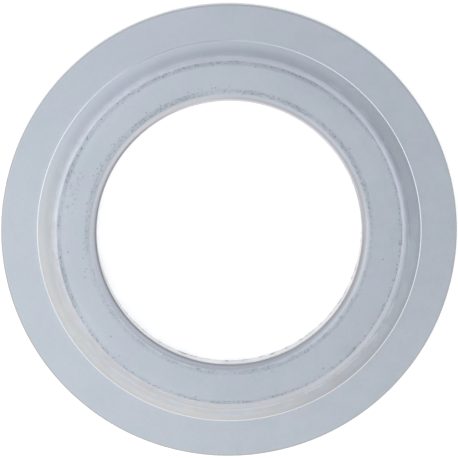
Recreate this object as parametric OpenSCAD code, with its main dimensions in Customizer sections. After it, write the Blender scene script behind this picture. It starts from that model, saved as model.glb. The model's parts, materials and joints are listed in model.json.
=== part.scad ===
// Reducing washer for electrical knockouts, pressed from one piece of plated steel sheet.
// It lies on its flange with the hub up. The bore axis is Z and the flange's back is at Z = 0.
// The section is drawn in the X, Y plane as radius and height, then turned about the axis.

/* [Sheet] */
// Thickness of the sheet in the flange, cone and hub
sheet_t = 1.8; // [1:0.1:2.4]

/* [Flange] */
// Outside diameter of the flange
flange_od = 59.6; // [55:0.1:80]
// Radius that shearing leaves on the flange's upper outer edge
rim_roll = 0.25; // [0.1:0.05:0.8]
// Radius of the corner between the flange's face and the cone
corner_fillet = 0.25; // [0.1:0.05:0.8]

/* [Hub] */
// Diameter of that corner, which centres the washer in the larger knockout
pilot_d = 50.1; // [48:0.1:52]
// Height of the hub's face above the flange's face
hub_rise = 2.05; // [1.5:0.05:3]
// Slope of the cone, measured from the flange
cone_angle = 44; // [38:1:60]
// Outside radius of the bend between the hub's face and the cone
hub_bend = 1.65; // [0.3:0.05:2.6]

/* [Bore] */
// Diameter of the bore, which passes the fitting for the smaller knockout
bore_d = 34.6; // [30:0.1:37]
// Width over which the hub's face rolls down to the bore
bore_roll = 1.1; // [0.5:0.05:1.6]
// Slope that the roll reaches at the bore's edge
roll_angle = 50; // [30:1:90]
// Wall of the collar, stretched thinner than the sheet
collar_wall = 1.2; // [0.6:0.1:2]
// Height of the collar's lower end above the flange's back
collar_gap = 0.1; // [0:0.05:0.8]
// Radius inside the corner between the collar and the underside of the hub
collar_fillet = 0.1; // [0.05:0.05:0.8]

/* [Hidden] */
$fn = 144;

height = sheet_t + hub_rise;
bore_r = bore_d / 2;
// The radius of the roll's arc, which the bore's wall cuts off at the roll's slope
roll_r = bore_roll / sin(roll_angle);
// The radius where the hub's flat face ends and the bend to the cone begins
hub_edge_r = pilot_d / 2 - hub_rise / tan(cone_angle) - hub_bend * tan(cone_angle / 2);
// The straight length of the cone between its two bends
cone_length = (hub_rise - (hub_bend + corner_fillet) * (1 - cos(cone_angle))) / sin(cone_angle);
// The radius where the flange's flat face begins
flange_start_r = pilot_d / 2 + corner_fillet * tan(cone_angle / 2);
// The width of the hub's flat face
hub_flat = hub_edge_r - bore_r - bore_roll;
// The hub is drawn in two halves that lap by this much, so that they join as one sheet
hub_lap = hub_flat / 4;
// Each bend laps this far into the sheet on both sides, for the same reason
bend_lap = sheet_t / 10;
// Longer than any bend is wide
beyond = 2 * (hub_bend + corner_fillet + sheet_t);

// A length of flat sheet that runs along +X, with its back on Y = 0
module strip(length) {
    square([length, sheet_t]);
}

// A bend in the sheet about the origin, from +Y clockwise through the angle
// One that is tighter outside than the sheet is thick comes out sharp inside
module bend(outside, angle) {
    difference() {
        circle(outside);
        if (outside > sheet_t) circle(outside - sheet_t);
        translate([-beyond, -beyond]) square([beyond, 2 * beyond]);
        rotate(-angle) translate([0, -beyond]) square([beyond, 2 * beyond]);
    }
    for (end = [0, -angle]) rotate(end) bend_key(outside);
}

// The lap at one end of a bend, in the middle half of the sheet's thickness
module bend_key(outside) {
    translate([-bend_lap, outside - sheet_t * 3 / 4]) square([2 * bend_lap, sheet_t / 2]);
}

// What is cut off, or filled in, where a corner gets a radius: the corner points to +X, +Y
module corner_spandrel(radius, margin) {
    difference() {
        square(radius + margin);
        circle(radius);
    }
}

module flange_section() {
    width = flange_od / 2 - flange_start_r;
    difference() {
        strip(width);
        translate([width - rim_roll, sheet_t - rim_roll]) corner_spandrel(rim_roll, rim_roll);
    }
}

// Hub, bend, cone, corner and flange follow each other, each drawn from the end of the one before
module pressed_section() {
    translate([hub_edge_r, height - hub_bend]) {
        translate([-hub_flat / 2, hub_bend - sheet_t]) strip(hub_flat / 2);
        bend(hub_bend, cone_angle);
        rotate(-cone_angle) {
            translate([0, hub_bend - sheet_t]) strip(cone_length);
            translate([cone_length, hub_bend + corner_fillet]) {
                mirror([0, 1]) bend(corner_fillet + sheet_t, cone_angle);
                rotate(cone_angle) translate([0, -corner_fillet - sheet_t]) flange_section();
            }
        }
    }
}

// The bore's wall, rolled over at the top and filleted under the hub
module collar_section() {
    collar_r = bore_r + collar_wall;
    difference() {
        union() {
            translate([bore_r, collar_gap]) square([collar_wall, height - collar_gap]);
            translate([bore_r, height - sheet_t]) strip(bore_roll + hub_flat / 2 + hub_lap);
            translate([collar_r + collar_fillet, height - sheet_t - collar_fillet])
                mirror([1, 0]) corner_spandrel(collar_fillet, 0);
        }
        translate([bore_r + bore_roll, height - roll_r])
            mirror([1, 0]) corner_spandrel(roll_r, roll_r);
    }
}

module reducing_washer() {
    color("lightsteelblue") rotate_extrude() {
        pressed_section();
        collar_section();
    }
}

reducing_washer();
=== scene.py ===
"""A pressed, zinc plated reducing washer, lying on its flange with the hub up."""

import json
import math

import bpy
from mathutils import Matrix, Vector


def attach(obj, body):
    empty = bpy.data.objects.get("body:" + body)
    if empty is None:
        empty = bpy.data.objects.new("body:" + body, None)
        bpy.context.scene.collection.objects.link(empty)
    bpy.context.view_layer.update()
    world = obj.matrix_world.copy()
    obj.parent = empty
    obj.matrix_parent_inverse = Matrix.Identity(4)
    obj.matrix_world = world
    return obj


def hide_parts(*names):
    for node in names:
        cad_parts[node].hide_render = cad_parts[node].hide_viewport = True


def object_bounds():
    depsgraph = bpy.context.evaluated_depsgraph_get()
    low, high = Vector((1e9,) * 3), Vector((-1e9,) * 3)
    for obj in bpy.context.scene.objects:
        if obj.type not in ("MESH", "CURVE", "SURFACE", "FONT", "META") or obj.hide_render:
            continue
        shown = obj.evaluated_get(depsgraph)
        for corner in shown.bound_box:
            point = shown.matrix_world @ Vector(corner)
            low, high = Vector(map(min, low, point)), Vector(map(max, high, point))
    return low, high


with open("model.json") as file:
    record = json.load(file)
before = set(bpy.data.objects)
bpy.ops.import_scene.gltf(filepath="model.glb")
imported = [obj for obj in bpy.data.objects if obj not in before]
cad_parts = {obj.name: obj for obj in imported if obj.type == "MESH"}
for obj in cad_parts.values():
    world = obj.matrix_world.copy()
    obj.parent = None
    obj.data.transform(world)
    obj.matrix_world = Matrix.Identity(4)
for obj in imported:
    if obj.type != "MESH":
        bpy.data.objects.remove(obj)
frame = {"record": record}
cad_low, cad_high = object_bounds()

MM = 0.001

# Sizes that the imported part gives, in metres
MOUNTS = {mount["name"]: mount for mount in frame["record"]["mounts"]}
FLANGE_R = cad_high.x
HEIGHT = cad_high.z
BORE_R = MOUNTS["bore"]["dims"]["r_mm"] * MM
SHEET = MOUNTS["flange_face"]["pos_m"][2]

# Sizes of the press work, in metres
PILOT_R = 25.05 * MM
CONE_ANGLE = math.radians(44)
HUB_BEND = 1.65 * MM
CORNER_FILLET = 0.25 * MM
RIM_ROLL = 0.25 * MM
BORE_ROLL = 1.1 * MM
ROLL_ANGLE = math.radians(50)
COLLAR_R = BORE_R + 1.2 * MM
COLLAR_GAP = 0.1 * MM
COLLAR_FILLET = 0.1 * MM
EDGE_BREAK = 0.06 * MM
QUARTER = math.radians(90)

# Where the flat faces end and the bends begin
HUB_UNDER = HEIGHT - SHEET
CONE_TOP_R = PILOT_R - HUB_UNDER / math.tan(CONE_ANGLE)
HUB_EDGE_R = CONE_TOP_R - HUB_BEND * math.tan(CONE_ANGLE / 2)
UNDER_CORNER_R = CONE_TOP_R - SHEET * math.tan(CONE_ANGLE / 2)
FLANGE_START_R = PILOT_R + CORNER_FILLET * math.tan(CONE_ANGLE / 2)
ROLL_R = BORE_ROLL / math.sin(ROLL_ANGLE)
WALL_TOP = HEIGHT - ROLL_R * (1 - math.cos(ROLL_ANGLE))

# The press's unevenness: how deep it goes, how wide its grain is and where its middle lies
TORN_DEPTH = 0.3 * MM
TORN_GRAIN = 0.7 * MM
TORN_MIDDLE = 0.3
WAVE_DEPTH = 0.06 * MM
WAVE_GRAIN = 4 * MM
WAVE_MIDDLE = 1.0

QUARTER_STEPS = 180
MERGE = MM / 1000

# Rings of marks and of painted light and shade on the upper side: middle, half width and fade, in
# millimetres
HUB_RING = (22.3, 0.08, 0.2)
HUB_LINE = (22.42, 0.02, 0.07)
HUB_FACE = (20.4, 1.9, 0.4)
BORE_RING = (18.6, 0.15, 0.3)
STRAY_RING = (18.9, 0.2, 0.5)
BIG_PIT_RING = (22.17, 0.12, 0.15)
LEFT_SMUDGE_RING = (22.2, 0.17, 0.22)
SHADED_RING = (22.22, 0.17, 0.15)
SCUFF_RING = (21.2, 0.6, 0.5)
RIDGE = (22.85, 0.25, 0.3)
WAVY_RIDGE = (22.85, 0.35, 0.45)
CONE_TOP = (23.3, 0.12, 0.25)
LIT_CORNER_LINE_RING = (24.9, 0.06, 0.15)
CORNER = (25.07, 0.035, 0.045)
SHOULDER = (17.95, 0.12, 0.22)
FRONT_SHADE_RING = (17.88, 0.06, 0.16)
ROLL_HIGHLIGHT_RING = (18.2, 0.05, 0.1)

# Where faces, marks and painted light and shade set in, from none to all, as radii or levels in millimetres
HUB_LEVELS = (2.6, 3.0)
SHADED_LEVELS = (2.2, 3.3)
WALL_START = (17.345, 17.325)
EDGE_START = (17.75, 17.4)
ROLL_START = (18.1, 17.4)
ROUGH_START = (18.5, 18.2)
CONE_START = (23.3, 23.5)
CONE_END = (25.12, 25.02)
LIT_FOOT_START = (23.6, 25.0)
WARM_REFLECTION_START = (22.8, 23.2)
WARM_REFLECTION_END = (25.0, 24.3)
FLANGE_START = (25.1, 25.3)
RIM_START = (29.5, 29.65)

# The same for the tip of a cone through the point, which parts the cone's upper side from its back
CONE_TIP_LEVELS = (24.7, 25.1)

# How far rings of marks lie inwards, in millimetres, with a minus for outwards
HUB_RING_AT_BACK = -0.1
BORE_RING_AT_FRONT = 0.22
CORNER_AT_RIGHT = -0.03

# Directions from the axis, seen from above: how far to the right and how far to the back
LEFT = (-1.0, 0.0)
BIG_PIT_SIDE = (-1.0, 0.3)
SCUFF_SIDE = (-0.966, 0.259)
BACK_LEFT = (-0.8, 0.6)
CORNER_SHADED_SIDE = (-0.276, 0.961)
EDGE_LIT_SIDE = (0.4, 0.9)
ROUGH_SIDE = (0.5, 0.87)
BRIGHT_AXIS = (0.95, 0.3)
RIGHT = (1.0, -0.1)
CONE_SHADED_SIDE = (0.95, -0.3)
FRONT_RIGHT = (0.4, -0.9)
FLANGE_LIT_SIDE = (-0.35, -0.94)
CONE_TOP_LIT_SIDE = (-0.4, -0.92)
FRONT = (-0.5, -0.87)
FRONT_LEFT = (-0.75, -0.65)
SMUDGED_SIDE = (-0.8, -0.5)
CLEAN_SIDE = (-0.9, -0.4)

# Colours of the plating, and of the painted light, shade, highlights and reflections laid on it
ZINC = (0.556, 0.611, 0.666, 1)
ROSY_ZINC = (0.573, 0.606, 0.678, 1)
MOTTLE = (0.97, 0.975, 0.98, 1)
FINE_GRAIN = (0.97, 0.97, 0.97, 1)
# Painted shade on the flange at the back and painted light on it at the front
FLANGE_PAINTED_SHADE = (0.965, 0.965, 0.97, 1)
FLANGE_PAINTED_LIGHT = (1.035, 1.035, 1.03, 1)
# Painted light on the cone's foot, at the front and at the back
FOOT_LIGHT_FRONT = (0.8, 0.82, 0.84, 1)
FOOT_LIGHT_BACK = (0.76, 0.8, 0.865, 1)
# Painted light, for a pale line beside the corner and a highlight line on the bore's roll
PAINTED_LIGHT_LINE = (0.8, 0.82, 0.86, 1)
# Painted shade on the cone's right side
CONE_PAINTED_SHADE = (0.84, 0.845, 0.85, 1)
# Painted warm reflection on the cone's front
WARM_REFLECTION_TINT = (1.03, 0.99, 0.935, 1)
# A painted tint on the highlight along the bend
RIDGE_HIGHLIGHT_TINT = (0.58, 0.6, 0.662, 1)
# Painted light at the cone's top
CONE_TOP_PAINTED_LIGHT = (1.07, 1.065, 1.05, 1)
# Painted shade in patches on the bend's highlight
RIDGE_PAINTED_SHADE = (0.93, 0.925, 0.92, 1)
# Painted light on the roll's start at the left and painted shade at the right
ROLL_PAINTED_LIGHT = (0.645, 0.65, 0.69, 1)
ROLL_PAINTED_SHADE = (0.4, 0.393, 0.412, 1)
# Painted shade on the roll's inner edge at the front and painted light on it at the back
EDGE_PAINTED_SHADE = (0.425, 0.43, 0.475, 1)
EDGE_PAINTED_LIGHT = (0.76, 0.765, 0.84, 1)
# Painted highlight on the roll's shoulder at the back left, and painted shade on it at the right and at the
# front
SHOULDER_PAINTED_HIGHLIGHT = (0.68, 0.675, 0.7, 1)
SHOULDER_PAINTED_SHADE = (0.93, 0.905, 0.89, 1)
FRONT_SHOULDER_SHADE = (0.88, 0.87, 0.875, 1)
# Painted shade on the rim's roll, which keeps it from showing a sheen
RIM_PAINTED_SHADE = (0.47, 0.48, 0.5, 1)
SHADE = (0.6, 0.6, 0.62, 1)
SMUDGE = (0.55, 0.56, 0.58, 1)
SCRATCH = (0.25, 0.26, 0.28, 1)
SCUFF = (0.3, 0.31, 0.33, 1)
PIT = (0.16, 0.17, 0.19, 1)
# Painted highlight on the rubbed line in the corner, and painted shade where it fades out
CORNER_HIGHLIGHT_LEFT = (0.78, 0.83, 0.89, 1)
CORNER_HIGHLIGHT_RIGHT = (0.95, 0.97, 1.0, 1)
CORNER_PAINTED_SHADE = (0.7, 0.7, 0.72, 1)
WALL_DARK = (0.55, 0.545, 0.555, 1)
WALL_LIGHT = (0.71, 0.7, 0.7, 1)
WALL_SHADE = (0.72, 0.72, 0.73, 1)
TORN_DARK = (0.2, 0.2, 0.21, 1)
TORN_LIGHT = (0.38, 0.38, 0.39, 1)

# How strongly the marks, painted tints and painted highlights cover the plating
RIDGE_SHARE = 0.8
ROLL_HIGHLIGHT_SHARE = 0.6
SHADE_SHARE = 0.35
SMUDGE_SHARE = 0.6
SCRATCH_SHARE = 0.4
SCUFF_SHARE = 0.3
PIT_SHARE = 0.65

# Roughness of the plating, and the relief of its grain, pits and waves
SATIN = (0.28, 0.33)
RUBBED_CHANGE = -0.08
TORN_CHANGE = 0.2
GRAIN_SHARE = 0.15
WAVE_SPAN = (-6.0, 6.0)
RELIEF_STRENGTH = 0.2
RELIEF_DEPTH = 0.02 * MM

# The ground
GROUND_SIZE = 10.0
GROUND_LEVEL = -0.02 * MM
GROUND_GLOW = 0.45
GROUND_PAINT = (0.88, 0.88, 0.88, 1)
WHITE = (1, 1, 1, 1)

# The lamps in a ring above the washer, anticlockwise from the right, with their brightness
RING_LAMPS = {
    "right": 0.5,
    "back_right": 0.35,
    "back": 0.19,
    "back_left": 0.28,
    "left": 0.36,
    "front_left": 0.02,
    "front": 0.15,
    "front_right": 0.29,
}
RING_R = 0.31
RING_LEVEL = 0.4
RING_LAMP_SIZE = (0.24, 0.21)
COOL = (0.96, 1.0, 1.05)

# The same for a second ring, lower and wider
LOW_LAMPS = {
    "low_right": 0.2,
    "low_back_right": 0.26,
    "low_back": 0.29,
    "low_back_left": 0.33,
    "low_left": 0.28,
    "low_front_left": 0.21,
    "low_front": 0.26,
    "low_front_right": 0.33,
}
LOW_R = 0.44
LOW_LEVEL = 0.25
LOW_LAMP_SIZE = (0.34, 0.18)
NEUTRAL = (1.01, 1.0, 0.99)

# A near lamp that hangs over the left half and faces straight down
NEAR_LEFT = 0.31
NEAR_PLACE = (-0.16, -0.06, 0.36)
NEAR_TARGET = (-0.16, -0.06, 0)
NEAR_SIZE = (0.32, 0.45)
NEAR_TINT = (0.96, 1.0, 1.0)

# The surroundings
SKY_LEVEL = 0.66
SKY_LEAN = (-0.16, -0.11, 0.05)
SKY_FRONT = (-0.4, -0.9, 0)
SKY_COOL = (0.96, 1.0, 1.05, 1)
SKY_WARM = (1.05, 1.0, 0.935, 1)

# The camera: how it leans and stands, how wide the flange is in the picture and where its middle lies
CAMERA_TILT = math.radians(7.6)
CAMERA_SWING = math.radians(9)
CAMERA_DISTANCE = 0.62
CAMERA_SENSOR = 36
PICTURE_PX = 458
FLANGE_PX = 456.2
MIDDLE_PX = (-0.26, 2.5)


def point(radius, height):
    """A point of the section, which is drawn in the plane of X and Z."""
    return Vector((radius, 0, height))


def straight_to(start, end, parts):
    """Extrude the last point of the section along a straight line, in equal parts."""
    step = (end - start) / parts
    for _ in range(parts):
        bpy.ops.mesh.extrude_region_move(TRANSFORM_OT_translate={"value": step})
    return end


def bend_about(start, centre, turn, parts):
    """Spin the last point of the section about a bend's centre. A positive turn is anticlockwise."""
    bpy.ops.mesh.spin(steps=parts, angle=turn, center=centre, axis=(0, 1, 0))
    return centre + Matrix.Rotation(-turn, 3, "Y") @ (start - centre)


def start_section(corner):
    """A point at a corner of the section: a small plane merged at its middle."""
    bpy.ops.object.select_all(action="DESELECT")
    bpy.ops.mesh.primitive_plane_add(size=EDGE_BREAK, location=corner)
    bpy.ops.object.transform_apply(location=True, rotation=True, scale=True)
    bpy.ops.object.mode_set(mode="EDIT")
    bpy.ops.mesh.select_all(action="SELECT")
    bpy.ops.mesh.merge(type="CENTER")
    return bpy.context.object


def draw_upper_side(pen):
    """Up the bore, over its roll, along the hub, down the cone and out along the flange."""
    hub_centre = point(HUB_EDGE_R, HEIGHT - HUB_BEND)
    corner_centre = point(FLANGE_START_R, SHEET + CORNER_FILLET)
    rim_centre = point(FLANGE_R - RIM_ROLL, SHEET - RIM_ROLL)
    roll_centre = point(BORE_R + BORE_ROLL, HEIGHT - ROLL_R)
    slope = Vector((math.sin(CONE_ANGLE), 0, math.cos(CONE_ANGLE)))
    pen = straight_to(pen, point(BORE_R, WALL_TOP), parts=8)
    pen = bend_about(pen, roll_centre, -ROLL_ANGLE, parts=12)
    pen = straight_to(pen, point(HUB_EDGE_R, HEIGHT), parts=8)
    pen = bend_about(pen, hub_centre, -CONE_ANGLE, parts=12)
    pen = straight_to(pen, corner_centre - CORNER_FILLET * slope, parts=5)
    pen = bend_about(pen, corner_centre, CONE_ANGLE, parts=6)
    pen = straight_to(pen, point(rim_centre.x - EDGE_BREAK, SHEET), parts=8)
    pen = straight_to(pen, point(rim_centre.x, SHEET), parts=1)
    return bend_about(pen, rim_centre, -QUARTER, parts=5)


def draw_under_side(pen):
    """Down the rim, in along the back, up under the hub and down the collar to its end."""
    corner_centre = point(FLANGE_START_R, SHEET + CORNER_FILLET)
    collar_corner = point(COLLAR_R + COLLAR_FILLET, HUB_UNDER - COLLAR_FILLET)
    end_level = COLLAR_GAP + EDGE_BREAK
    pen = straight_to(pen, point(FLANGE_R, EDGE_BREAK), parts=3)
    pen = bend_about(pen, point(FLANGE_R - EDGE_BREAK, EDGE_BREAK), -QUARTER, parts=3)
    pen = straight_to(pen, point(FLANGE_START_R, 0), parts=4)
    pen = bend_about(pen, corner_centre, -CONE_ANGLE, parts=6)
    pen = straight_to(pen, point(UNDER_CORNER_R, HUB_UNDER), parts=3)
    pen = straight_to(pen, point(collar_corner.x, HUB_UNDER), parts=4)
    pen = bend_about(pen, collar_corner, QUARTER, parts=3)
    pen = straight_to(pen, point(COLLAR_R, end_level), parts=4)
    pen = bend_about(pen, point(COLLAR_R - EDGE_BREAK, end_level), -QUARTER, parts=3)
    pen = straight_to(pen, point(BORE_R + EDGE_BREAK, COLLAR_GAP), parts=4)
    return bend_about(pen, point(BORE_R + EDGE_BREAK, end_level), -QUARTER, parts=3)


def draw_quarter():
    """Draw the section as a closed line and spin it through a quarter turn."""
    first = point(BORE_R, COLLAR_GAP + EDGE_BREAK)
    piece = start_section(first)
    piece.name = "plated_washer"
    draw_under_side(draw_upper_side(first))
    bpy.ops.mesh.select_all(action="SELECT")
    bpy.ops.mesh.remove_doubles(threshold=MERGE)
    bpy.ops.mesh.spin(steps=QUARTER_STEPS, angle=QUARTER, center=(0, 0, 0), axis=(0, 0, 1))
    bpy.ops.object.mode_set(mode="OBJECT")
    return piece


def mirror_quarter(piece):
    """Mirror the quarter to the other three and close the seams."""
    mirror = piece.modifiers.new("other_quarters", "MIRROR")
    mirror.use_axis = (True, True, False)
    mirror.merge_threshold = MERGE
    bpy.ops.object.modifier_apply(modifier=mirror.name)
    bpy.ops.object.mode_set(mode="EDIT")
    bpy.ops.mesh.select_all(action="SELECT")
    bpy.ops.mesh.remove_doubles(threshold=MERGE)
    bpy.ops.mesh.normals_make_consistent(inside=False)
    bpy.ops.object.mode_set(mode="OBJECT")


def soften_ring(piece, radius, height):
    """Bevel a sharp ring of edges, found by its radius and height."""
    bpy.ops.object.mode_set(mode="EDIT")
    bpy.ops.mesh.select_mode(type="EDGE")
    bpy.ops.mesh.select_all(action="DESELECT")
    bpy.ops.object.mode_set(mode="OBJECT")
    on_ring = {
        vertex.index
        for vertex in piece.data.vertices
        if abs(vertex.co.xy.length - radius) < MERGE and abs(vertex.co.z - height) < MERGE
    }
    for edge in piece.data.edges:
        edge.select = on_ring.issuperset(edge.vertices)
    bpy.ops.object.mode_set(mode="EDIT")
    bpy.ops.mesh.bevel(offset=EDGE_BREAK, segments=2, affect="EDGES")
    bpy.ops.object.mode_set(mode="OBJECT")


def weighted_group(piece, name, weight_at):
    """A vertex group whose weights follow from each point's radius and height."""
    group = piece.vertex_groups.new(name=name)
    for vertex in piece.data.vertices:
        weight = weight_at(vertex.co.xy.length, vertex.co.z)
        if weight > 0:
            group.add([vertex.index], weight, "REPLACE")
    return group.name


def at_collar_end(radius, height):
    """The collar's lower end, where the sheet was torn."""
    return 1.0 if radius < COLLAR_R + MERGE and height < COLLAR_GAP + 2 * EDGE_BREAK else 0.0


def at_hub_bend(radius, height):
    """The bend at the hub's edge, fading out to both sides."""
    middle = HUB_EDGE_R + HUB_BEND * math.sin(CONE_ANGLE / 2)
    return max(0.0, 1 - ((radius - middle) / HUB_BEND) ** 2) if height > SHEET else 0.0


def uneven(piece, name, group, depth, grain, middle):
    """Raise and lower a group of points by a cloudy texture, and keep the result in the mesh."""
    clouds = bpy.data.textures.new(name, "CLOUDS")
    clouds.noise_scale = grain
    clouds.noise_depth = 2
    displace = piece.modifiers.new(name, "DISPLACE")
    displace.texture = clouds
    displace.texture_coords = "LOCAL"
    displace.vertex_group = group
    displace.direction = "Z"
    displace.strength = depth
    displace.mid_level = middle
    bpy.ops.object.modifier_apply(modifier=name)


def make_washer():
    """The ring of the pressed section, with the press's unevenness in it and smooth shading."""
    piece = draw_quarter()
    mirror_quarter(piece)
    soften_ring(piece, BORE_R, WALL_TOP)
    soften_ring(piece, UNDER_CORNER_R, HUB_UNDER)
    collar_end = weighted_group(piece, "collar_end", at_collar_end)
    uneven(piece, "torn_end", collar_end, TORN_DEPTH, TORN_GRAIN, TORN_MIDDLE)
    hub_bend = weighted_group(piece, "hub_bend", at_hub_bend)
    uneven(piece, "wavy_bend", hub_bend, WAVE_DEPTH, WAVE_GRAIN, WAVE_MIDDLE)
    bpy.ops.object.shade_smooth()
    weighted = piece.modifiers.new("flat_faces", "WEIGHTED_NORMAL")
    weighted.keep_sharp = True
    bpy.ops.object.modifier_apply(modifier=weighted.name)
    return piece


def node_maker(tree):
    """Shorthand for making a node in a tree, with its inputs set or linked by name or number."""

    def make(kind, inputs=None, **settings):
        node = tree.nodes.new(kind)
        for name, value in settings.items():
            setattr(node, name, value)
        for key, value in (inputs or {}).items():
            if isinstance(value, bpy.types.NodeSocket):
                tree.links.new(value, node.inputs[key])
            else:
                node.inputs[key].default_value = value
        return node

    return make


def new_group(name, inputs, outputs):
    """An empty shader node group with named number or vector sockets."""
    group = bpy.data.node_groups.new(name, "ShaderNodeTree")
    for socket, kind in inputs.items():
        group.interface.new_socket(name=socket, in_out="INPUT", socket_type=kind)
    for socket, kind in outputs.items():
        group.interface.new_socket(name=socket, in_out="OUTPUT", socket_type=kind)
    make = node_maker(group)
    return group, make, make("NodeGroupInput").outputs, make("NodeGroupOutput").inputs


def ring_mask_group():
    """A mask that is 1 on a ring of some radius and fades out to both sides. Sizes are in millimetres."""
    group, make, given, result = new_group(
        "ring_mask",
        {"Radius": "NodeSocketFloat", "Middle": "NodeSocketFloat", "Half Width": "NodeSocketFloat",
         "Fade": "NodeSocketFloat"},
        {"Mask": "NodeSocketFloat"},
    )
    offset = make("ShaderNodeMath", {0: given["Radius"], 1: given["Middle"]}, operation="SUBTRACT")
    apart = make("ShaderNodeMath", {0: offset.outputs[0]}, operation="ABSOLUTE")
    end = make("ShaderNodeMath", {0: given["Half Width"], 1: given["Fade"]}, operation="ADD")
    fade = make(
        "ShaderNodeMapRange",
        {"Value": apart.outputs[0], "From Min": given["Half Width"], "From Max": end.outputs[0],
         "To Min": 1.0, "To Max": 0.0},
        interpolation_type="SMOOTHSTEP",
    )
    group.links.new(fade.outputs["Result"], result["Mask"])
    return group


def speck_group():
    """Scattered specks: the peaks of a fine noise, above a level that sets how many there are."""
    group, make, given, result = new_group(
        "specks",
        {"Place": "NodeSocketVector", "Scale": "NodeSocketFloat", "Level": "NodeSocketFloat",
         "Edge": "NodeSocketFloat"},
        {"Mask": "NodeSocketFloat"},
    )
    noise = make("ShaderNodeTexNoise", {"Vector": given["Place"], "Scale": given["Scale"], "Detail": 1.5})
    full = make("ShaderNodeMath", {0: given["Level"], 1: given["Edge"]}, operation="ADD")
    peaks = make(
        "ShaderNodeMapRange",
        {"Value": noise.outputs["Fac"], "From Min": given["Level"], "From Max": full.outputs[0]},
        interpolation_type="SMOOTHSTEP",
    )
    group.links.new(peaks.outputs["Result"], result["Mask"])
    return group


def dot_group():
    """Scattered round dots of different widths, as many as the density asks for."""
    group, make, given, result = new_group(
        "dots",
        {"Place": "NodeSocketVector", "Scale": "NodeSocketFloat", "Density": "NodeSocketFloat",
         "Size": "NodeSocketFloat"},
        {"Mask": "NodeSocketFloat"},
    )
    cells = make("ShaderNodeTexVoronoi", {"Vector": given["Place"], "Scale": given["Scale"]},
                 voronoi_dimensions="2D")
    chance = make("ShaderNodeSeparateColor", {0: cells.outputs["Color"]})
    chosen = make("ShaderNodeMath", {0: chance.outputs["Red"], 1: given["Density"]}, operation="LESS_THAN")
    share = make("ShaderNodeMapRange", {"Value": chance.outputs["Green"], "To Min": 0.4})
    width = make("ShaderNodeMath", {0: share.outputs["Result"], 1: given["Size"]}, operation="MULTIPLY")
    core = make("ShaderNodeMath", {0: width.outputs[0], 1: 0.4}, operation="MULTIPLY")
    dot = make(
        "ShaderNodeMapRange",
        {"Value": cells.outputs["Distance"], "From Min": core.outputs[0], "From Max": width.outputs[0],
         "To Min": 1.0, "To Max": 0.0},
        interpolation_type="SMOOTHSTEP",
    )
    mask = make("ShaderNodeMath", {0: dot.outputs["Result"], 1: chosen.outputs[0]}, operation="MULTIPLY")
    group.links.new(mask.outputs[0], result["Mask"])
    return group


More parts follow.
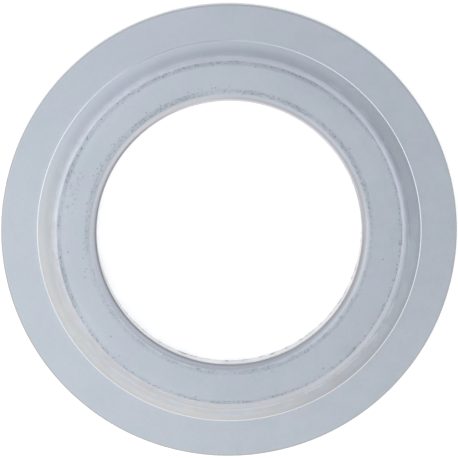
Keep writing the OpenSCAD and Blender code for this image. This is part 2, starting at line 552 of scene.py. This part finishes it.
class Plating:
    """The nodes of the plating. They measure the washer in millimetres, from its axis and its underside."""

    def __init__(self, tree):
        self.make = node_maker(tree)
        self.ring_mask = ring_mask_group()
        self.specks = speck_group()
        self.dots = dot_group()
        self.measure()
        self.shared_masks()

    def measure(self):
        """Where a point lies: its level, radius and heading from the axis."""
        place = self.make("ShaderNodeTexCoord").outputs["Object"]
        self.in_mm = self.vector("SCALE", {0: place, "Scale": 1 / MM})
        self.flat = self.vector("MULTIPLY", {0: self.in_mm, 1: (1, 1, 0)})
        self.heading = self.vector("NORMALIZE", {0: self.flat})
        self.level = self.make("ShaderNodeSeparateXYZ", {0: self.in_mm}).outputs["Z"]
        self.radius = self.make("ShaderNodeVectorMath", {0: self.flat}, operation="LENGTH").outputs["Value"]
        compass = self.make("ShaderNodeSeparateXYZ", {0: self.heading}).outputs
        self.side = compass["X"]
        self.back = compass["Y"]

    def shared_masks(self):
        """Masks that more than one of the marks need. The rings of marks are a little off the axis."""
        cone_tip = self.number("MULTIPLY_ADD", self.radius, math.tan(CONE_ANGLE), self.level)
        self.on_hub = self.rise(self.level, *HUB_LEVELS)
        self.on_cone = self.rise(cone_tip, *CONE_TIP_LEVELS)
        self.wall = self.rise(self.radius, *WALL_START)
        self.patches = self.cloud(0.3, 2.0, 0.3, 1.0)
        at_back = self.rise(self.back, 0.0, 1.0)
        at_front = self.rise(self.towards(FRONT_RIGHT), -0.2, 0.8)
        self.hub_reach = self.number("MULTIPLY_ADD", at_back, HUB_RING_AT_BACK, self.radius)
        bore_reach = self.number("MULTIPLY_ADD", at_front, BORE_RING_AT_FRONT, self.radius)
        corner_reach = self.number("MULTIPLY_ADD", self.side, CORNER_AT_RIGHT, self.radius)
        self.hub_ring = self.product(self.ring(HUB_RING, self.hub_reach), self.on_hub)
        self.bore_ring = self.product(self.ring(BORE_RING, bore_reach), self.on_hub)
        self.corner_ring = self.product(self.ring(CORNER, corner_reach), self.on_cone)

    def vector(self, operation, inputs):
        """One step of reckoning with vectors."""
        return self.make("ShaderNodeVectorMath", inputs, operation=operation).outputs["Vector"]

    def number(self, operation, first, second=0.0, third=0.0):
        """One step of reckoning with numbers."""
        return self.make("ShaderNodeMath", {0: first, 1: second, 2: third}, operation=operation).outputs[0]

    def product(self, first, *factors):
        """Masks multiplied with each other."""
        for factor in factors:
            first = self.number("MULTIPLY", first, factor)
        return first

    def most(self, first, *others):
        """The greatest of some masks."""
        for other in others:
            first = self.number("MAXIMUM", first, other)
        return first

    def rise(self, value, start, end, low=0.0, high=1.0):
        """A soft step from low to high, while a value goes from start to end."""
        node = self.make(
            "ShaderNodeMapRange",
            {"Value": value, "From Min": start, "From Max": end, "To Min": low, "To Max": high},
            interpolation_type="SMOOTHSTEP",
        )
        return node.outputs["Result"]

    def towards(self, direction):
        """How far a point lies towards a direction: 1 straight that way, -1 straight away from it."""
        inputs = {0: self.heading, 1: (*direction, 0)}
        return self.make("ShaderNodeVectorMath", inputs, operation="DOT_PRODUCT").outputs["Value"]

    def ring(self, band, reach=None):
        """A ring of marks, given by its middle, half width and fade."""
        middle, half_width, fade = band
        across = self.radius if reach is None else reach
        inputs = {"Radius": across, "Middle": middle, "Half Width": half_width, "Fade": fade}
        return self.make("ShaderNodeGroup", inputs, node_tree=self.ring_mask).outputs["Mask"]

    def speck(self, where, scale, lowest, edge):
        """Scattered specks."""
        inputs = {"Place": where, "Scale": scale, "Level": lowest, "Edge": edge}
        return self.make("ShaderNodeGroup", inputs, node_tree=self.specks).outputs["Mask"]

    def dot(self, scale, density, size):
        """Scattered dots."""
        inputs = {"Place": self.flat, "Scale": scale, "Density": density, "Size": size}
        return self.make("ShaderNodeGroup", inputs, node_tree=self.dots).outputs["Mask"]

    def cloud(self, scale, detail, low=0.0, high=1.0, where=None):
        """A soft noise that goes from low to high."""
        place = self.in_mm if where is None else where
        noise = self.make("ShaderNodeTexNoise", {"Vector": place, "Scale": scale, "Detail": detail})
        span = self.make(
            "ShaderNodeMapRange",
            {"Value": noise.outputs["Fac"], "From Min": 0.35, "From Max": 0.65,
             "To Min": low, "To Max": high},
        )
        return span.outputs["Result"]

    def blend(self, mode, share, under, over):
        """One colour laid over another."""
        node = self.make("ShaderNodeMix", {0: share, 6: under, 7: over}, data_type="RGBA", blend_type=mode)
        return node.outputs[2]

    def cover(self, share, under, over):
        """A colour that hides the one below it."""
        return self.blend("MIX", share, under, over)

    def tint(self, share, under, over):
        """A colour that tints the one below it."""
        return self.blend("MULTIPLY", share, under, over)


def pit_mask(zinc):
    """Pits in rows beside the two bends, bigger ones at the left and single ones on the hub."""
    hub_density = zinc.product(zinc.patches, zinc.rise(zinc.back, -0.3, 1.0, 0.7, 1.0))
    hub_pits = zinc.product(zinc.hub_ring, zinc.dot(3.4, hub_density, 0.46))
    bore_dots = zinc.dot(3.0, zinc.product(zinc.patches, 0.85), 0.55)
    bore_pits = zinc.product(zinc.bore_ring, bore_dots, zinc.rise(zinc.back, -0.4, 0.6, 0.35, 0.65))
    stray_dots = zinc.dot(2.2, zinc.rise(zinc.towards(BACK_LEFT), 0.55, 1.0, 0.0, 0.3), 0.3)
    stray_pits = zinc.product(zinc.ring(STRAY_RING), zinc.on_hub, stray_dots)
    lone_density = zinc.product(zinc.patches, zinc.rise(zinc.side, 0.3, -1.0, 0.06, 0.12))
    lone_pits = zinc.product(zinc.ring(HUB_FACE), zinc.on_hub, zinc.dot(0.9, lone_density, 0.14), 0.8)
    big_dots = zinc.dot(1.5, zinc.rise(zinc.towards(BIG_PIT_SIDE), 0.3, 0.9, 0.0, 0.4), 0.26)
    big_pits = zinc.product(zinc.ring(BIG_PIT_RING), zinc.on_hub, big_dots)
    return zinc.most(hub_pits, big_pits, bore_pits, lone_pits, stray_pits)


def smudge_mask(zinc):
    """Smudges along the two bends, in clumps."""
    clumps = zinc.speck(zinc.in_mm, 2.1, 0.54, 0.12)
    hub_share = zinc.rise(zinc.towards(SMUDGED_SIDE), -0.8, 0.8, 0.6, 1.4)
    clean_right = zinc.rise(zinc.side, 0.6, 1.0, 1.0, 0.5)
    hub_smudge = zinc.product(zinc.hub_ring, zinc.most(clumps, 0.3), clean_right, hub_share)
    left_share = zinc.rise(zinc.towards(LEFT), 0.5, 0.95, 0.0, 1.4)
    left_smudge = zinc.product(zinc.ring(LEFT_SMUDGE_RING), zinc.on_hub, zinc.most(clumps, 0.5), left_share)
    bore_share = zinc.rise(zinc.back, -0.4, 0.6, 1.15, 1.5)
    clean_left = zinc.rise(zinc.towards(CLEAN_SIDE), 0.2, 0.9, 1.0, 0.5)
    bore_smudge = zinc.product(zinc.bore_ring, clean_left, zinc.most(clumps, 0.4), bore_share)
    return zinc.product(zinc.most(hub_smudge, left_smudge, bore_smudge), zinc.patches)


def scratch_mask(zinc):
    """Short scratches that run round in the two rows of pits, and a thin line along the hub's bend."""
    across = zinc.make("ShaderNodeCombineXYZ", {"Z": zinc.product(zinc.radius, 5.0)}).outputs["Vector"]
    around = zinc.vector("MULTIPLY_ADD", {0: zinc.heading, 1: (14, 14, 0), 2: across})
    rings = zinc.most(zinc.hub_ring, zinc.bore_ring)
    streaks = zinc.product(rings, zinc.speck(around, 1.0, 0.63, 0.05))
    hub_line = zinc.product(zinc.ring(HUB_LINE, zinc.hub_reach), zinc.on_hub)
    return zinc.most(streaks, zinc.product(hub_line, zinc.patches))


def rubbed_and_highlit_corner_mask(zinc):
    """The rubbed line in the corner at the cone's foot, which carries a painted highlight. It fades out
    near the back.
    """
    rubbed = zinc.rise(zinc.towards(CORNER_SHADED_SIDE), 0.97, 0.79)
    both_sides = zinc.number("ABSOLUTE", zinc.towards(BRIGHT_AXIS))
    return zinc.product(zinc.corner_ring, rubbed, zinc.rise(both_sides, 0.5, 0.95, 0.6, 1.0))


def torn_mask(zinc):
    """The ragged band at the lower end of the bore's wall."""
    torn_top = zinc.cloud(0.9, 4.0, -0.4, 1.3, zinc.flat)
    return zinc.product(zinc.wall, zinc.rise(zinc.number("SUBTRACT", zinc.level, torn_top), 0.25, -0.15))


def plain_zinc(zinc):
    """The plating itself: a slow change of tint, a fine grain, and painted light that makes the flange
    paler at the front and painted shade that makes it darker at the back.
    """
    colour = zinc.cover(zinc.cloud(0.25, 2.0), ZINC, ROSY_ZINC)
    colour = zinc.tint(zinc.cloud(0.16, 3.0), colour, MOTTLE)
    colour = zinc.tint(zinc.cloud(3.0, 2.0), colour, FINE_GRAIN)
    # Painted light at the flange's front and painted shade at its back
    flange_light_and_shade = zinc.cover(zinc.rise(zinc.towards(FLANGE_LIT_SIDE), -0.8, 0.8), FLANGE_PAINTED_SHADE, FLANGE_PAINTED_LIGHT)
    return zinc.tint(zinc.rise(zinc.radius, *FLANGE_START), colour, flange_light_and_shade)


def paint_cone(zinc, colour):
    """Painted light on the foot and in a pale line by the corner, painted shade on the right side and a
    painted warm reflection at the front.
    """
    cone = zinc.product(zinc.rise(zinc.radius, *CONE_START), zinc.rise(zinc.radius, *CONE_END),
                        zinc.on_cone)
    # Painted light on the cone's foot, weaker at the right and stronger at the front and back
    foot = zinc.product(zinc.rise(zinc.radius, *LIT_FOOT_START), cone,
                        zinc.rise(zinc.side, 1.0, 0.6, 0.5, 0.65),
                        zinc.rise(zinc.number("ABSOLUTE", zinc.back), 0.7, 1.0, 1.0, 1.5))
    foot_painted_light = zinc.cover(zinc.rise(zinc.back, -0.6, 0.6), FOOT_LIGHT_FRONT, FOOT_LIGHT_BACK)
    # Painted shade on the cone towards the right
    shaded_cone = zinc.product(cone, zinc.rise(zinc.towards(CONE_SHADED_SIDE), 0.2, 0.9))
    # Painted light in a pale line just inside the corner, towards the right
    lit_corner_line = zinc.product(zinc.ring(LIT_CORNER_LINE_RING), zinc.on_cone, zinc.rise(zinc.side, -0.3, 0.5, 0.0, 0.2))
    # A painted warm reflection, in clouds, on the cone towards the front
    warm_reflection_band = zinc.product(zinc.rise(zinc.radius, *WARM_REFLECTION_START), zinc.rise(zinc.radius, *WARM_REFLECTION_END),
                           zinc.on_cone)
    warm_reflection = zinc.product(warm_reflection_band, zinc.cloud(0.35, 2.0), zinc.rise(zinc.towards(FRONT), -0.2, 0.6))
    colour = zinc.cover(foot, colour, foot_painted_light)
    colour = zinc.tint(shaded_cone, colour, CONE_PAINTED_SHADE)
    colour = zinc.cover(lit_corner_line, colour, PAINTED_LIGHT_LINE)
    return zinc.tint(warm_reflection, colour, WARM_REFLECTION_TINT)


def paint_ridge(zinc, colour):
    """The bend between hub and cone, with a painted tint on its highlight, painted light at the cone's top
    towards the front, and painted shade in places at the left.
    """
    ridge = zinc.product(zinc.ring(RIDGE), zinc.on_cone)
    # Painted light at the top of the cone, towards the front
    lit_cone_top = zinc.product(zinc.ring(CONE_TOP), zinc.on_cone, zinc.rise(zinc.towards(CONE_TOP_LIT_SIDE), 0.0, 0.6))
    # Painted shade in cloudy patches on the bend, towards the left
    shaded_ridge = zinc.product(ridge, zinc.cloud(0.7, 3.0), zinc.rise(zinc.side, 0.3, -0.5))
    # A painted tint on the bend's highlight
    colour = zinc.cover(zinc.product(ridge, RIDGE_SHARE), colour, RIDGE_HIGHLIGHT_TINT)
    colour = zinc.tint(lit_cone_top, colour, CONE_TOP_PAINTED_LIGHT)
    return zinc.tint(shaded_ridge, colour, RIDGE_PAINTED_SHADE)


def paint_roll(zinc, colour):
    """The roll into the bore: painted light and shade on its start by side, on its shoulder and on its
    inner edge, and a painted highlight line at the front left.
    """
    # Painted light on the roll at the left, painted shade at the right
    roll_light_and_shade = zinc.cover(zinc.rise(zinc.side, -0.5, 0.5), ROLL_PAINTED_LIGHT, ROLL_PAINTED_SHADE)
    # Painted shade on the inner edge at the front, painted light at the back right
    edge_light_and_shade = zinc.cover(zinc.rise(zinc.towards(EDGE_LIT_SIDE), 0.2, 0.9), EDGE_PAINTED_SHADE, EDGE_PAINTED_LIGHT)
    shoulder = zinc.ring(SHOULDER)
    # Painted highlight on the shoulder at the back left, painted shade at the right and at the front
    bright = zinc.product(shoulder, zinc.rise(zinc.towards(BACK_LEFT), 0.5, 0.9, 0.0, 0.6))
    shoulder_shade = zinc.product(shoulder, zinc.rise(zinc.towards(RIGHT), 0.7, 0.95))
    shaded_front_shoulder = zinc.product(zinc.ring(FRONT_SHADE_RING), zinc.rise(zinc.towards(FRONT), 0.0, 0.6))
    # A painted highlight line at the roll's start, at the front left
    roll_highlight_line = zinc.product(zinc.ring(ROLL_HIGHLIGHT_RING), zinc.rise(zinc.towards(FRONT_LEFT), 0.6, 0.85))
    colour = zinc.cover(zinc.rise(zinc.radius, *ROLL_START), colour, roll_light_and_shade)
    colour = zinc.cover(bright, colour, SHOULDER_PAINTED_HIGHLIGHT)
    colour = zinc.tint(shoulder_shade, colour, SHOULDER_PAINTED_SHADE)
    colour = zinc.tint(shaded_front_shoulder, colour, FRONT_SHOULDER_SHADE)
    colour = zinc.cover(zinc.rise(zinc.radius, *EDGE_START), colour, edge_light_and_shade)
    return zinc.cover(zinc.product(roll_highlight_line, ROLL_HIGHLIGHT_SHARE), colour, PAINTED_LIGHT_LINE)


def paint_marks(zinc, colour, pits):
    """A shaded line at the back, smudges, scratches, a scuffed patch at the left, and the pits."""
    shaded = zinc.product(zinc.ring(SHADED_RING), zinc.on_hub, zinc.rise(zinc.back, 0.55, 1.0))
    scuffs = zinc.product(zinc.ring(SCUFF_RING), zinc.on_hub,
                          zinc.rise(zinc.towards(SCUFF_SIDE), 0.985, 0.996),
                          zinc.speck(zinc.in_mm, 3.0, 0.56, 0.08))
    colour = zinc.tint(zinc.product(shaded, SHADE_SHARE), colour, SHADE)
    colour = zinc.tint(zinc.product(smudge_mask(zinc), SMUDGE_SHARE), colour, SMUDGE)
    colour = zinc.cover(zinc.product(scratch_mask(zinc), SCRATCH_SHARE), colour, SCRATCH)
    colour = zinc.cover(zinc.product(scuffs, SCUFF_SHARE), colour, SCUFF)
    return zinc.cover(zinc.product(pits, PIT_SHARE), colour, PIT)


def paint_corner(zinc, colour, corner):
    """A painted highlight on the rubbed line in the corner, and a line of painted shade where it has faded
    out.
    """
    corner_highlight = zinc.cover(zinc.rise(zinc.side, -0.7, 0.7), CORNER_HIGHLIGHT_LEFT, CORNER_HIGHLIGHT_RIGHT)
    shade = zinc.product(zinc.corner_ring, zinc.rise(zinc.towards(CORNER_SHADED_SIDE), 0.94, 0.985))
    # Painted highlight in the corner, paler at the right than at the left
    colour = zinc.cover(corner, colour, corner_highlight)
    # Painted shade in the corner near the back, where the highlight has faded out
    return zinc.tint(shade, colour, CORNER_PAINTED_SHADE)


def paint_wall(zinc, colour, torn):
    """The bore's wall: mottled, shaded at the top and torn at the lower end."""
    wall_zinc = zinc.cover(zinc.cloud(0.5, 3.0), WALL_DARK, WALL_LIGHT)
    torn_zinc = zinc.cover(zinc.cloud(4.0, 2.0), TORN_DARK, TORN_LIGHT)
    colour = zinc.cover(zinc.wall, colour, wall_zinc)
    shaded = zinc.product(zinc.wall, zinc.rise(zinc.level, *SHADED_LEVELS))
    colour = zinc.tint(shaded, colour, WALL_SHADE)
    return zinc.cover(torn, colour, torn_zinc)


def zinc_roughness(zinc, corner, torn):
    """Satin, smoother where it is rubbed and rougher on the roll at the back and where it is torn."""
    rubbed = zinc.most(corner, zinc.wall)
    rough_roll = zinc.product(zinc.rise(zinc.radius, *ROUGH_START),
                              zinc.rise(zinc.towards(ROUGH_SIDE), 0.5, 0.9))
    satin = zinc.number("ADD", zinc.cloud(0.5, 3.0, *SATIN), zinc.product(rubbed, RUBBED_CHANGE))
    return zinc.number("ADD", satin, zinc.product(zinc.most(rough_roll, torn), TORN_CHANGE))


def zinc_relief(zinc, pits):
    """A fine grain, sunk pits and a ridge that wavers."""
    grain = zinc.make("ShaderNodeTexNoise", {"Vector": zinc.in_mm, "Scale": 9.0, "Detail": 3.0})
    waves = zinc.product(zinc.ring(WAVY_RIDGE), zinc.on_cone, zinc.cloud(0.4, 2.0, *WAVE_SPAN))
    height = zinc.number("SUBTRACT", zinc.product(grain.outputs["Fac"], GRAIN_SHARE), pits)
    height = zinc.number("ADD", height, waves)
    inputs = {"Strength": RELIEF_STRENGTH, "Distance": RELIEF_DEPTH, "Height": height}
    return zinc.make("ShaderNodeBump", inputs).outputs["Normal"]


def zinc_material():
    """Satin zinc on pressed steel, pitted along the bends and rubbed in the corner, with painted
    highlights, painted light and painted shade on its bends, roll and rim.
    """
    material = bpy.data.materials.new("zinc_plate")
    material.use_nodes = True
    tree = material.node_tree
    tree.nodes.clear()
    zinc = Plating(tree)
    pits = pit_mask(zinc)
    corner = rubbed_and_highlit_corner_mask(zinc)
    torn = torn_mask(zinc)
    colour = paint_cone(zinc, plain_zinc(zinc))
    colour = paint_ridge(zinc, colour)
    colour = paint_roll(zinc, colour)
    # Painted shade on the rim's roll
    colour = zinc.cover(zinc.rise(zinc.radius, *RIM_START), colour, RIM_PAINTED_SHADE)
    colour = paint_marks(zinc, colour, pits)
    colour = paint_corner(zinc, colour, corner)
    colour = paint_wall(zinc, colour, torn)
    shader = zinc.make(
        "ShaderNodeBsdfPrincipled",
        {"Base Color": colour, "Metallic": 1.0, "Roughness": zinc_roughness(zinc, corner, torn),
         "Normal": zinc_relief(zinc, pits)},
    )
    output = zinc.make("ShaderNodeOutputMaterial")
    tree.links.new(shader.outputs["BSDF"], output.inputs["Surface"])
    return material


def white_material():
    """White paint that glows a little where the camera or the part's metal sees it."""
    material = bpy.data.materials.new("white_ground")
    material.use_nodes = True
    tree = material.node_tree
    tree.nodes.clear()
    make = node_maker(tree)
    path = make("ShaderNodeLightPath")
    seen = make("ShaderNodeMath", {0: path.outputs["Is Camera Ray"], 1: path.outputs["Is Glossy Ray"]},
                operation="ADD")
    seen = make("ShaderNodeMath", {0: seen.outputs[0], 1: path.outputs["Is Transmission Ray"]},
                operation="ADD", use_clamp=True)
    glow = make("ShaderNodeMath", {0: seen.outputs[0], 1: GROUND_GLOW}, operation="MULTIPLY")
    paint = make("ShaderNodeBsdfDiffuse", {"Color": GROUND_PAINT})
    white = make("ShaderNodeEmission", {"Color": WHITE, "Strength": glow.outputs[0]})
    both = make("ShaderNodeAddShader", {0: paint.outputs[0], 1: white.outputs[0]})
    output = make("ShaderNodeOutputMaterial")
    tree.links.new(both.outputs[0], output.inputs["Surface"])
    return material


def make_floor():
    """A plain white ground that keeps the shadow."""
    bpy.ops.object.select_all(action="DESELECT")
    bpy.ops.mesh.primitive_plane_add(size=GROUND_SIZE, location=(0, 0, GROUND_LEVEL))
    floor = bpy.context.object
    floor.name = "ground"
    floor.data.materials.append(white_material())


def surround():
    """Soft surroundings whose brightness leans to the left and front, warmer from the front."""
    world = bpy.data.worlds.new("studio")
    bpy.context.scene.world = world
    world.use_nodes = True
    tree = world.node_tree
    tree.nodes.clear()
    make = node_maker(tree)
    direction = make("ShaderNodeTexCoord").outputs["Generated"]
    lean = make("ShaderNodeVectorMath", {0: direction, 1: SKY_LEAN}, operation="DOT_PRODUCT")
    level = make("ShaderNodeMath", {0: lean.outputs["Value"], 1: SKY_LEVEL}, operation="ADD")
    front = make("ShaderNodeVectorMath", {0: direction, 1: SKY_FRONT}, operation="DOT_PRODUCT")
    warm = make("ShaderNodeMapRange", {"Value": front.outputs["Value"], "From Min": -0.3, "From Max": 0.9})
    tint = make("ShaderNodeMix", {0: warm.outputs["Result"], 6: SKY_COOL, 7: SKY_WARM}, data_type="RGBA")
    sky = make("ShaderNodeBackground", {"Color": tint.outputs[2], "Strength": level.outputs[0]})
    output = make("ShaderNodeOutputWorld")
    tree.links.new(sky.outputs[0], output.inputs["Surface"])


def softbox(name, place, target, size, radiance, colour):
    """A rectangular lamp that faces a point. Its power follows from its brightness and area."""
    lamp = bpy.data.lights.new(name, "AREA")
    lamp.shape = "RECTANGLE"
    lamp.size, lamp.size_y = size
    lamp.energy = radiance * math.pi * size[0] * size[1]
    lamp.color = colour
    holder = bpy.data.objects.new(name, lamp)
    bpy.context.scene.collection.objects.link(holder)
    holder.location = place
    holder.rotation_euler = (Vector(target) - Vector(place)).to_track_quat("-Z", "Y").to_euler()


def lamp_ring(lamps, radius, level, size, colour):
    """Softboxes evenly round the axis, all facing the washer."""
    for index, (name, radiance) in enumerate(lamps.items()):
        turn = index * math.tau / len(lamps)
        place = (radius * math.cos(turn), radius * math.sin(turn), level)
        softbox(name, place, (0, 0, SHEET), size, radiance, colour)


def light_studio():
    """Softboxes in two rings above the washer, and a near one over its left half."""
    lamp_ring(RING_LAMPS, RING_R, RING_LEVEL, RING_LAMP_SIZE, COOL)
    lamp_ring(LOW_LAMPS, LOW_R, LOW_LEVEL, LOW_LAMP_SIZE, NEUTRAL)
    softbox("near_left", NEAR_PLACE, NEAR_TARGET, NEAR_SIZE, NEAR_LEFT, NEAR_TINT)


def aim_camera():
    """Look down on the washer, leaning a little to its back, so that it fills the picture."""
    picture_width = 2 * FLANGE_R * PICTURE_PX / FLANGE_PX
    pixel = picture_width / PICTURE_PX
    lean = math.sin(CAMERA_TILT)
    towards = Vector((-lean * math.sin(CAMERA_SWING), lean * math.cos(CAMERA_SWING), math.cos(CAMERA_TILT)))
    right = Vector((0, 1, 0)).cross(towards).normalized()
    up = towards.cross(right)
    turn = Matrix((right, up, towards)).transposed().to_4x4()
    middle = Vector((MIDDLE_PX[0] * pixel, MIDDLE_PX[1] * pixel, SHEET))
    lens = bpy.data.cameras.new("camera")
    lens.sensor_width = CAMERA_SENSOR
    lens.lens = CAMERA_SENSOR * CAMERA_DISTANCE / picture_width
    camera = bpy.data.objects.new("camera", lens)
    bpy.context.scene.collection.objects.link(camera)
    camera.matrix_world = Matrix.Translation(middle + towards * CAMERA_DISTANCE) @ turn
    bpy.context.scene.camera = camera


washer = make_washer()
washer.data.materials.clear()
washer.data.materials.append(zinc_material())
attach(washer, "root")
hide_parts("reducing_washer")

make_floor()
surround()
light_studio()
aim_camera()
bpy.context.scene.view_settings.view_transform = "Standard"
